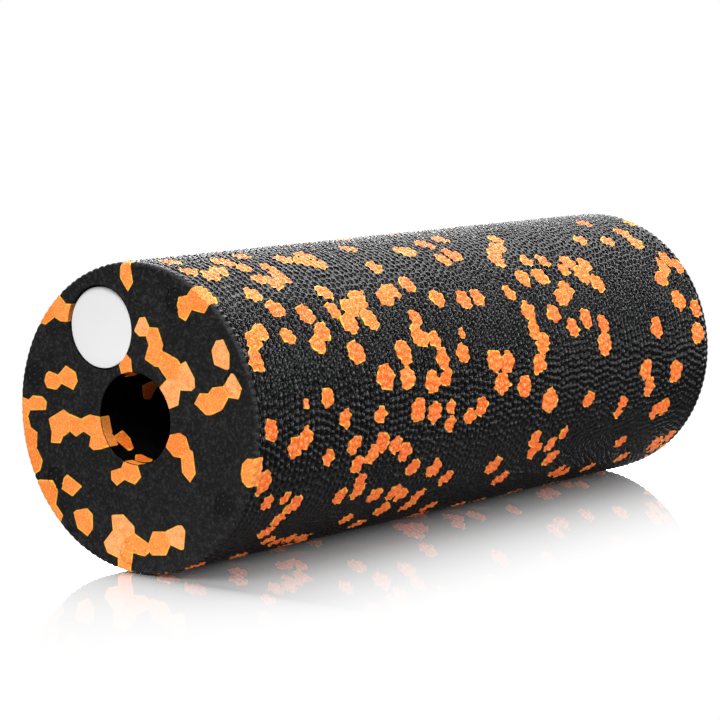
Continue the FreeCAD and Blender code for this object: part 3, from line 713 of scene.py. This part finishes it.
def unroll(points, flat, middle=0.0):
    """Places on a flat sheet: (x, z) for an end, or (y, angle from middle) for a round surface."""
    if flat:
        return points[:, [0, 2]]
    angle = np.arctan2(points[:, 0], points[:, 2] - RADIUS) - middle
    angle = (angle + math.pi) % (2 * math.pi) - math.pi
    return np.stack([points[:, 1], angle + middle], axis=1)


def used_only(triangles):
    """The numbers of the points that triangles use, and the triangles in terms of those."""
    numbers, place = np.unique(triangles, return_inverse=True)
    return numbers, place.reshape(-1, 3)


def directed_edges(triangles):
    """The triangles' edges, and which of them no other triangle here runs the other way."""
    edges = np.concatenate([triangles[:, [0, 1]], triangles[:, [1, 2]], triangles[:, [2, 0]]])
    count = int(edges.max()) + 1
    there, back = edges[:, 0] * count + edges[:, 1], edges[:, 1] * count + edges[:, 0]
    return edges, ~np.isin(there, back)


def mesh_normals(points, triangles):
    corner = points[triangles]
    across = np.cross(corner[:, 1] - corner[:, 0], corner[:, 2] - corner[:, 0])
    normals = np.zeros_like(points)
    for k in range(3):
        np.add.at(normals, triangles[:, k], across)
    length = np.linalg.norm(normals, axis=1)
    return normals / np.maximum(length, 1e-12)[:, None]


UNDERSIDE_TAPER = 0.6


def ring_of(edges):
    """The points that directed edges use, each edge's ends as numbers into those, and the triangles of a wall
    from each edge down to a second row of as many points."""
    numbers = np.unique(edges)
    start, end = np.searchsorted(numbers, edges).T
    below = len(numbers)
    wall = [
        np.stack([start, start + below, end + below], axis=1),
        np.stack([start, end + below, end], axis=1),
    ]
    return numbers, start, end, wall


def underside(placed, edges, core):
    """A bead's hidden rounded underside, from its edge in to its core, as points and triangles."""
    numbers, start, end, wall = ring_of(edges)
    top = placed[numbers]
    lower = top + UNDERSIDE_TAPER * (core - top)
    below = len(numbers)
    tip = np.stack([start + below, np.full(len(start), 2 * below), end + below], axis=1)
    return np.concatenate([top, lower, [core]]), np.concatenate(wall + [tip])


def hole_wall(placed, edges, hole):
    """The wall from the surface's edge down to a hole's floor, as points and triangles."""
    numbers, _, _, wall = ring_of(edges)
    top = placed[numbers]
    lower = top.copy()
    lower[:, 1] = hole.floor_level()
    return np.concatenate([top, lower]), np.concatenate(wall)


VENT_MARK = 0.4
FURTHEST_VALUE = 3.0


class Pieces:
    """Collects the parts of each piece, by name."""

    def __init__(self, beads, tones, vents):
        self.beads, self.tones, self.vents, self.parts = beads, tones, vents, {}

    def add(self, name, part):
        self.parts.setdefault(name, []).append(part)

    def vent_marks(self, points):
        """0 off the vents, VENT_MARK on a vent's floor and up to 1 at the middle of a pip."""
        marks = np.zeros(len(points))
        for vent in self.vents:
            on_end = points[:, 1] * vent.end > LENGTH / 2 - 2 * VENT_DEPTH
            inside = np.flatnonzero(on_end & (vent.side(points) < 0.01))
            pips = pip_places() + vent.centre
            away = np.linalg.norm(points[inside][:, None, [0, 2]] - pips[None], axis=2).min(axis=1)
            marks[inside] = VENT_MARK + (1 - VENT_MARK) * np.clip(1 - away / PIP_RADIUS, 0, 1)
        return marks

    def bead_values(self, number, plain_points):
        """What a bead's material reads: how far in from its edges a point is, its shade and the vents."""
        bead = self.beads[number]
        return {
            "rim": np.clip(bead.inner_edge(plain_points, touching=False), 0, FURTHEST_VALUE),
            "seam": np.clip(bead.inner_edge(plain_points, touching=True), 0, FURTHEST_VALUE),
            "tone": np.full(len(plain_points), self.tones[number]),
            "vent": self.vent_marks(plain_points),
        }

    def foam_values(self, plain_points, wall_distance):
        """What the black foam's materials read: how far a point is from a bead, and the vents."""
        return {"wall": wall_distance, "vent": self.vent_marks(plain_points)}

    def add_bead(self, skin, number, triangles, flat):
        """The shown surface of a bead."""
        bead = self.beads[number]
        numbers, local = used_only(triangles)
        self.add(bead.node, Part(skin.placed[numbers], skin.normals[numbers], local,
                                 unroll(skin.points[numbers], flat, bead.angle),
                                 **self.bead_values(number, skin.points[numbers])))

    def add_underside(self, skin, number, triangles, pocket_name, flat):
        """A bead's underside, and the pocket in the black foam that it sits in."""
        bead = self.beads[number]
        edges, is_open = directed_edges(triangles)
        points, local = underside(skin.placed, edges[is_open], bead.core)
        normals = mesh_normals(points, local)
        sheet = unroll(points, flat, bead.angle)
        self.add(bead.node, Part(points, normals, local, sheet, True, **self.bead_values(number, points)))
        self.add(pocket_name, Part(points, -normals, local[:, ::-1], sheet, True,
                                   **self.foam_values(points, np.zeros(len(points)))))

    def add_black(self, name, skin, triangles, flat, middle=0.0):
        """The shown surface of some of the black foam."""
        numbers, local = used_only(triangles)
        plain_points = skin.points[numbers]
        self.add(name, Part(skin.placed[numbers], skin.normals[numbers], local,
                            unroll(plain_points, flat, middle),
                            **self.foam_values(plain_points, skin.wall_distance[numbers])))


UV_FOR_HIDDEN = 0.02
UV_LOWEST = 0.05


def build_piece(name, parts, material):
    """One mesh object from its parts, with their normals, values and an unrolled map."""
    starts = np.cumsum([0] + [len(p.points) for p in parts])
    points = np.concatenate([p.points for p in parts]) * MM
    normals = np.concatenate([p.normals for p in parts])
    triangles = np.concatenate([p.triangles + s for p, s in zip(parts, starts)])
    mesh = bpy.data.meshes.new(name)
    mesh.vertices.add(len(points))
    mesh.vertices.foreach_set("co", points.ravel())
    mesh.loops.add(triangles.size)
    mesh.loops.foreach_set("vertex_index", triangles.ravel())
    mesh.polygons.add(len(triangles))
    mesh.polygons.foreach_set("loop_start", np.arange(0, triangles.size, 3))
    mesh.polygons.foreach_set("use_smooth", np.ones(len(triangles), bool))
    mesh.update(calc_edges=True)
    for key in parts[0].values:
        values = np.concatenate([p.values[key] for p in parts])
        mesh.attributes.new(key, "FLOAT", "POINT").data.foreach_set("value", values.astype(np.float32))
    sheet = np.concatenate([p.unrolled for p in parts])
    shown = np.concatenate([np.full(len(p.points), not p.hidden) for p in parts])
    low, high = sheet[shown].min(axis=0), sheet[shown].max(axis=0)
    uv = np.clip((sheet - low) / (high - low), 0, 1)
    uv[:, 1] = np.where(shown, UV_LOWEST + (1 - UV_LOWEST) * uv[:, 1], UV_FOR_HIDDEN)
    mesh.uv_layers.new(name="OFBake").data.foreach_set("uv", uv[triangles.ravel()].ravel().astype(np.float32))
    mesh.normals_split_custom_set_from_vertices(normals.astype(np.float32))
    mesh.materials.append(material)
    piece = bpy.data.objects.new(name, mesh)
    bpy.context.scene.collection.objects.link(piece)
    return piece


# ---------------------------------------------------------------- materials

def finish_material(n, shader):
    n.add("ShaderNodeOutputMaterial", None, Surface=shader.outputs[0])


def new_material(name):
    made = bpy.data.materials.new(name)
    made.use_nodes = True
    return made, Nodes(made.node_tree)


def barrel_foam():
    """Black foam as the mould's pebbled side leaves it: a slight sheen on the domes."""
    made, n = new_material("black_foam_barrel")
    place = n.millimetres()
    cloud = n.noise(place, 0.35, 3.0)
    speck = n.noise(place, 5.0, 2.0)
    shade = n.mix(n.between(cloud, 0.35, 0.65), rgb(0.0012, 0.0012, 0.0013), rgb(0.0025, 0.0025, 0.0028))
    shade = n.mix(n.between(speck, 0.6, 0.8, 0.0, 0.5), shade, rgb(0.006, 0.006, 0.0065))
    # Painted shade: the foam is painted an even dark in the crease along its edges against the beads.
    shade = n.mix(n.between(n.attribute("wall"), 0.0, 0.2, 0.75, 0.0), shade, rgb(0.002, 0.002, 0.002))
    fine = n.noise(place, 7.0, 3.0, 0.6)
    bump = n.add("ShaderNodeBump", None, Strength=0.2, Distance=0.02 * MM, Height=fine)
    rough = n.between(cloud, 0.3, 0.7, 0.19, 0.26)
    finish_material(n, n.add("ShaderNodeBsdfPrincipled", None, Base_Color=shade, Roughness=rough,
                             Specular_IOR_Level=0.2, Normal=bump.outputs[0]))
    return made


def face_foam():
    """Black foam as it lies on the ends: matt, with a fine grain, small pits and faint bead outlines."""
    made, n = new_material("black_foam_face")
    place = n.millimetres()
    cloud = n.noise(place, 0.3, 4.0, 0.6)
    grit = n.noise(place, 2.1, 4.0, 0.7)
    pits = n.add("ShaderNodeTexVoronoi", None, Vector=place, Scale=0.9)
    cells = n.add("ShaderNodeTexVoronoi", {"feature": "DISTANCE_TO_EDGE"}, Vector=place, Scale=0.28)
    shade = n.mix(n.between(cloud, 0.35, 0.7), rgb(0.006, 0.006, 0.0062), rgb(0.01, 0.01, 0.0105))
    shade = n.mix(n.between(grit, 0.49, 0.66, 0.0, 0.8), shade, rgb(0.037, 0.037, 0.038))
    shade = n.mix(n.between(grit, 0.34, 0.48, 0.85, 0.0), shade, rgb(0.003, 0.003, 0.003))
    # Painted shade: the small pits are painted darker.
    shade = n.mix(n.between(pits.outputs["Distance"], 0.07, 0.12, 0.8, 0.0), shade, rgb(0.003, 0.003, 0.003))
    # Painted shade: the foam is painted darker in the crease along its edges against the beads and the holes.
    shade = n.mix(n.between(n.attribute("wall"), 0.0, 0.16, 0.8, 0.0), shade, rgb(0.002, 0.002, 0.002))
    # The vent floors are painted darker, and each pip is painted much lighter: a painted highlight on the
    # pips.
    shade = n.mix(n.between(n.attribute("vent"), 0.0, VENT_MARK, 0.0, 0.7), shade, rgb(0.003, 0.003, 0.003))
    shade = n.mix(n.between(n.attribute("vent"), 0.55, 1.0, 0.0, 1.0), shade, rgb(0.075, 0.075, 0.076))
    ground = n.math("ADD", n.math("MULTIPLY", grit, 0.6), n.math("MULTIPLY", n.noise(place, 1.2, 3.0), 1.2))
    ground = n.math("ADD", ground, n.between(pits.outputs["Distance"], 0.05, 0.14, -0.8, 0.0))
    ground = n.math("ADD", ground, n.between(cells.outputs["Distance"], 0.0, 0.05, -0.25, 0.0))
    bump = n.add("ShaderNodeBump", None, Strength=0.9, Distance=0.12 * MM, Height=ground)
    finish_material(n, n.add("ShaderNodeBsdfPrincipled", None, Base_Color=shade, Roughness=0.6,
                             Specular_IOR_Level=0.2, Normal=bump.outputs[0]))
    return made


def orange_foam(name, deep, light, pale, roughness, grit_strength):
    """Orange beads: mottled, paler or deeper from bead to bead, with a thin yellow skin at their edges."""
    made, n = new_material(name)
    place = n.millimetres()
    tone = n.attribute("tone")
    shade = n.mix(n.between(tone, 0.0, 0.6), deep, light)
    shade = n.mix(n.between(tone, 0.6, 1.0), shade, pale)
    mottle = n.noise(place, 1.1, 3.0, 0.6)
    shade = n.mix(n.between(mottle, 0.35, 0.6, 0.65, 0.0), shade, deep)
    fleck = n.noise(place, 3.2, 4.0, 0.7)
    shade = n.mix(n.between(fleck, 0.5, 0.62, 0.0, 0.9), shade, pale)
    shade = n.mix(n.between(fleck, 0.38, 0.48, 0.85, 0.0), shade, deep)
    uneven = n.between(n.noise(place, 0.8, 1.0), 0.35, 0.65, 0.03, 0.3)
    rim = n.attribute("rim")
    edge = n.between(n.math("DIVIDE", rim, uneven), 0.5, 1.3, 0.85, 0.0)
    shade = n.mix(edge, shade, rgb(1.0, 0.52, 0.035))
    seam = n.between(n.attribute("seam"), 0.0, 0.22, 0.4, 0.0)
    shade = n.mix(seam, shade, rgb(1.0, 0.42, 0.05))
    # Painted highlight: the pips of the vents on the beads are painted paler.
    shade = n.mix(n.between(n.attribute("vent"), 0.5, 1.0, 0.0, 0.8), shade, pale)
    # Painted shade: a dark line is painted along the bead's edge where it meets the black foam, as the shade
    # of the crease there.
    crease_shade = n.between(rim, 0.0, 0.07, 0.75, 0.0)
    shade = n.mix(crease_shade, shade, rgb(0.16, 0.035, 0.0))
    ground = n.math("ADD", n.noise(place, 3.5, 3.0, 0.6), n.math("MULTIPLY", n.noise(place, 9.0, 2.0), 0.4))
    bump = n.add("ShaderNodeBump", None, Strength=grit_strength, Distance=0.05 * MM, Height=ground)
    finish_material(n, n.add("ShaderNodeBsdfPrincipled", None, Base_Color=shade, Roughness=roughness,
                             Specular_IOR_Level=0.4, Normal=bump.outputs[0]))
    return made


def label_film():
    """Glossy white film with a fine orange-peel, painted a little greyer towards its top left as shade."""
    made, n = new_material("label_film")
    place = n.millimetres()
    apart = n.add("ShaderNodeSeparateXYZ", None, Vector=place)
    centre = recess_centre()
    # Painted shade: the film is painted greyer towards its top left.
    across = n.math("SUBTRACT", apart.outputs[2], centre[1])
    slope = n.math("ADD", across, n.math("MULTIPLY", apart.outputs[0], -0.5))
    shade = n.mix(n.between(slope, -8.0, 12.0), rgb(0.8, 0.8, 0.8), rgb(0.72, 0.72, 0.725))
    shade = n.mix(n.between(n.noise(place, 0.25, 2.0), 0.3, 0.7, 0.0, 0.25), shade, rgb(0.77, 0.77, 0.77))
    peel = n.add("ShaderNodeBump", None, Strength=0.08, Distance=0.05 * MM, Height=n.noise(place, 1.5, 2.0))
    finish_material(n, n.add("ShaderNodeBsdfPrincipled", None, Base_Color=shade, Roughness=0.22,
                             Coat_Weight=0.5, Coat_Roughness=0.08, Normal=peel.outputs[0]))
    return made


def glue_film():
    """Dried glue: yellowish white and uneven."""
    made, n = new_material("glue_film")
    place = n.millimetres()
    uneven = n.between(n.noise(place, 0.8, 3.0), 0.35, 0.65)
    shade = n.mix(uneven, rgb(0.78, 0.76, 0.68), rgb(0.62, 0.60, 0.5))
    bump = n.add("ShaderNodeBump", None, Strength=0.3, Distance=0.05 * MM, Height=n.noise(place, 1.2, 3.0))
    finish_material(n, n.add("ShaderNodeBsdfPrincipled", None, Base_Color=shade, Roughness=0.4,
                             Normal=bump.outputs[0]))
    return made


def paint_node(node, material):
    """Gives a CAD node's own mesh a material."""
    mesh = frame["nodes"][node].data
    mesh.materials.clear()
    mesh.materials.append(material)


# ---------------------------------------------------------------- putting it together

def bead_tones(beads):
    """Each bead's shade from 0, deep, to 1, pale."""
    tones = rng.uniform(0.1, 0.75, len(beads))
    for number, bead in enumerate(beads):
        if bead.node != "orange_beads_near_end":
            continue
        tones[number] = rng.uniform(0.35, 0.65)
        for places, tone in ((PALE_BEADS, 0.95), (DEEP_BEADS, 0.1)):
            spots = np.array([(x, -LENGTH / 2 + 0.3, RADIUS + z) for x, z in places])
            if (bead.side(spots) < 0).any():
                tones[number] = tone
    return tones


def sector_of(points):
    """The number of the barrel's sector that points are in."""
    turn = np.arctan2(points[:, 0], points[:, 2] - RADIUS) % (2 * math.pi)
    return (turn / (2 * math.pi) * SECTORS).astype(int) % SECTORS


def group_by_owner(owner):
    """The triangles' numbers for each bead that owns any."""
    order = np.argsort(owner, kind="stable")
    numbers, starts = np.unique(owner[order], return_index=True)
    return {int(n): group for n, group in zip(numbers, np.split(order, starts[1:])) if n >= 0}


def region_name(middle):
    """The black piece that a place on the outer surface belongs to."""
    if abs(middle[1]) > LENGTH / 2 - RIM_RADIUS:
        return "foam_label_end" if middle[1] < 0 else "foam_plain_end"
    return f"foam_barrel_{sector_of(np.array([middle]))[0] + 1}"


def is_end(name):
    return name.endswith("_end")


def make_outer(pieces, holes):
    skin = outer_skin()
    for k, hole in enumerate(holes):
        skin.cut(hole, FIRST_HOLE - k)
    for number, bead in enumerate(pieces.beads):
        skin.cut(bead, number)
    skin.trim()
    skin.raise_by(outer_height)
    for number, group in group_by_owner(skin.owner).items():
        flat = is_end(pieces.beads[number].node)
        triangles = skin.triangles[group]
        pieces.add_bead(skin, number, triangles, flat)
        pocket = region_name(skin.middles[group].mean(axis=0))
        pieces.add_underside(skin, number, triangles, pocket, flat)
    black = skin.owner == BLACK
    from_end = LENGTH / 2 - np.abs(skin.middles[:, 1])
    on_end = from_end < RIM_RADIUS
    for name, end in (("foam_label_end", -1), ("foam_plain_end", 1)):
        here = black & on_end & (skin.middles[:, 1] * end > 0)
        pieces.add_black(name, skin, skin.triangles[here], flat=True)
    sector = sector_of(skin.middles)
    for k in range(SECTORS):
        middle = (k + 0.5) * 2 * math.pi / SECTORS
        pieces.add_black(f"foam_barrel_{k + 1}", skin, skin.triangles[black & ~on_end & (sector == k)],
                         flat=False, middle=middle)
    shown = np.flatnonzero(skin.owner >= BLACK)
    for hole in holes:
        add_hole(pieces, skin, shown, hole)


HOLE_SEARCH = 1.5


def add_hole(pieces, skin, shown, hole):
    """A hole's wall, black or orange as the surface above it is, and its floor."""
    middles = skin.middles[shown]
    around = np.hypot(middles[:, 0] - hole.centre[0], middles[:, 2] - hole.centre[1])
    level_with_end = middles[:, 1] * hole.end > LENGTH / 2 - LEVEL_TOLERANCE
    beside = shown[(np.abs(around - hole.radius) < HOLE_SEARCH) & level_with_end]
    edges, is_open = directed_edges(skin.triangles[beside])
    owners = np.tile(skin.owner[beside], 3)
    on_circle = (np.abs(hole.side(skin.points[edges.ravel()])) < 2 * SNAP).reshape(-1, 2).all(axis=1)
    rim = is_open & on_circle
    end_name = "foam_label_end" if hole.end < 0 else "foam_plain_end"
    for owner in np.unique(owners[rim]):
        points, local = hole_wall(skin.placed, edges[rim & (owners == owner)], hole)
        normals = mesh_normals(points, local)
        sheet = unroll(points, True)
        if owner == BLACK:
            pieces.add(end_name, Part(points, normals, local, sheet,
                                      **pieces.foam_values(points, np.full(len(points), NO_WALL_NEAR))))
        else:
            pieces.add(pieces.beads[owner].node, Part(points, normals, local, sheet,
                                                      **pieces.bead_values(owner, points)))
    is_vent = hole.depth == VENT_DEPTH
    floor = floor_skin(hole, *(VENT_FLOOR_STEPS if is_vent else RECESS_FLOOR_STEPS))
    for number, bead in enumerate(pieces.beads):
        floor.cut(bead, number)
    floor.trim()
    floor.raise_by(vent_height(hole.centre) if is_vent else lambda points, outward: ripple.at(points))
    pieces.add_black(end_name, floor, floor.triangles[floor.owner == BLACK], flat=True)
    for number, group in group_by_owner(floor.owner).items():
        pieces.add_bead(floor, number, floor.triangles[group], flat=True)


def make_bore(pieces):
    skin = bore_skin()
    for number, bead in enumerate(pieces.beads):
        skin.cut(bead, number)
    skin.trim()
    skin.raise_by(bore_height)
    upper = skin.middles[:, 2] > RADIUS
    for name, half, middle in (("foam_bore_upper", upper, 0.0), ("foam_bore_lower", ~upper, math.pi)):
        pieces.add_black(name, skin, skin.triangles[(skin.owner == BLACK) & half], flat=False, middle=middle)
    for number, group in group_by_owner(skin.owner).items():
        flat = is_end(pieces.beads[number].node)
        triangles = skin.triangles[group]
        pieces.add_bead(skin, number, triangles, flat)
        name = "foam_bore_upper" if skin.middles[group, 2].mean() > RADIUS else "foam_bore_lower"
        pieces.add_underside(skin, number, triangles, name, flat)


def all_holes():
    holes = [Hole(recess_centre(), RECESS_RADIUS, -1, RECESS_DEPTH)]
    for end in (-1, 1):
        holes += [Hole(centre, VENT_RADIUS, end, VENT_DEPTH) for centre in vent_centres(end)]
    return holes


def make_roller():
    bead_nodes = sorted(name for name in frame["nodes"] if name.startswith("orange_beads"))
    beads = [Bead(node, corners) for node in bead_nodes for corners in closed_solids(node)]
    for bead in beads:
        for other in beads:
            if other is not bead:
                bead.mark_touching(other)
    holes = all_holes()
    pieces = Pieces(beads, bead_tones(beads), holes[1:])
    make_outer(pieces, holes)
    make_bore(pieces)
    barrel, face = barrel_foam(), face_foam()
    orange_barrel = orange_foam("orange_foam_barrel", rgb(0.84, 0.1, 0.003), rgb(0.92, 0.165, 0.008),
                                rgb(1.0, 0.36, 0.09), 0.32, 0.3)
    orange_face = orange_foam("orange_foam_face", rgb(0.88, 0.185, 0.008), rgb(0.9, 0.28, 0.04),
                              rgb(0.95, 0.43, 0.16), 0.6, 0.9)
    for name, parts in pieces.parts.items():
        is_bead = name in bead_nodes
        if is_bead:
            material = orange_face if is_end(name) else orange_barrel
        else:
            material = face if is_end(name) else barrel
        own_name = name.replace("orange_beads", "beads") if is_bead else name
        piece = build_piece(own_name, parts, material)
        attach(piece, "root")
        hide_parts(name if is_bead else "foam_body")
    paint_node("label_disc", label_film())
    paint_node("label_adhesive", glue_film())


add_camera()
add_studio()
make_roller()
